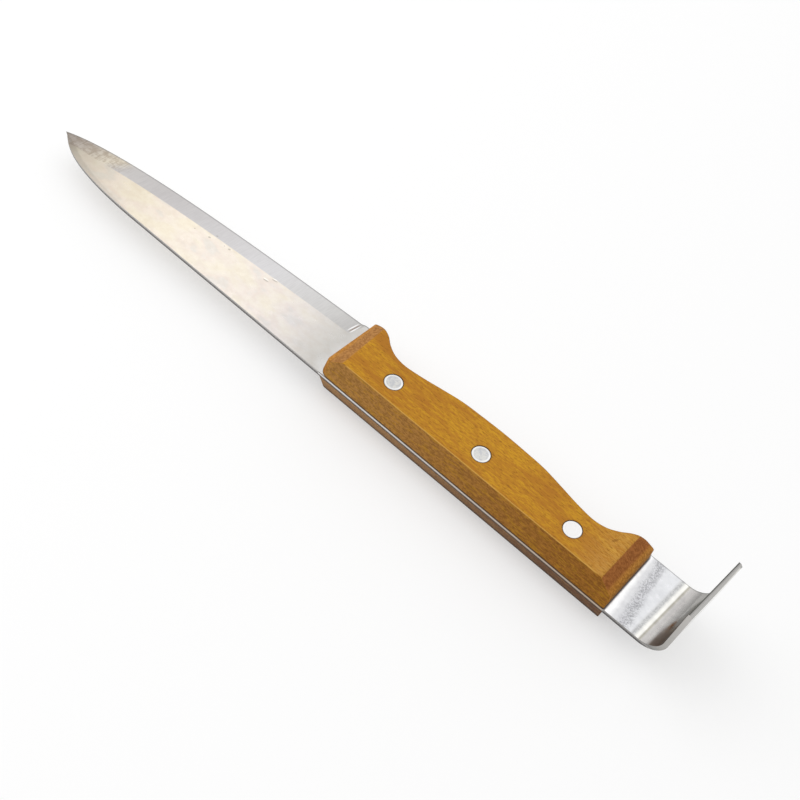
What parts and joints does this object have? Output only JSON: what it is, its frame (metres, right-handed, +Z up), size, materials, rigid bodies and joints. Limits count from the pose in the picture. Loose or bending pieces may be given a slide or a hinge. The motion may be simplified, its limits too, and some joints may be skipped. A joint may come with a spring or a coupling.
{
  "type": "hive tool",
  "caption": "Rigid beekeeping hive tool: pointed steel blade with a full tang, riveted hardwood grip with finger guards, and an upturned scraping hook.",
  "frame": {"origin": "centre of the tool's footprint, on the surface that the lower scale's flat face lies on", "axes": "+X along the tool from the blade's point to the hook, +Y from the spine to the cutting edge, +Z up, the way the hook's lip stands"},
  "size_m": [0.341, 0.0352, 0.0427],
  "materials": {
    "steel": "satin stainless, finely ground along the cutting edge",
    "wood": "oiled golden brown hardwood with fine dark pores",
    "rivet": "pressed and sanded flush"
  },
  "bodies": {
    "root": {"blade_tang_and_hook": "steel", "handle_scale_upper": "wood", "handle_scale_lower": "wood", "rivet_male_front": "rivet", "rivet_male_middle": "rivet", "rivet_male_rear": "rivet", "rivet_female_front": "rivet", "rivet_female_middle": "rivet", "rivet_female_rear": "rivet"}
  },
  "joints": []
}
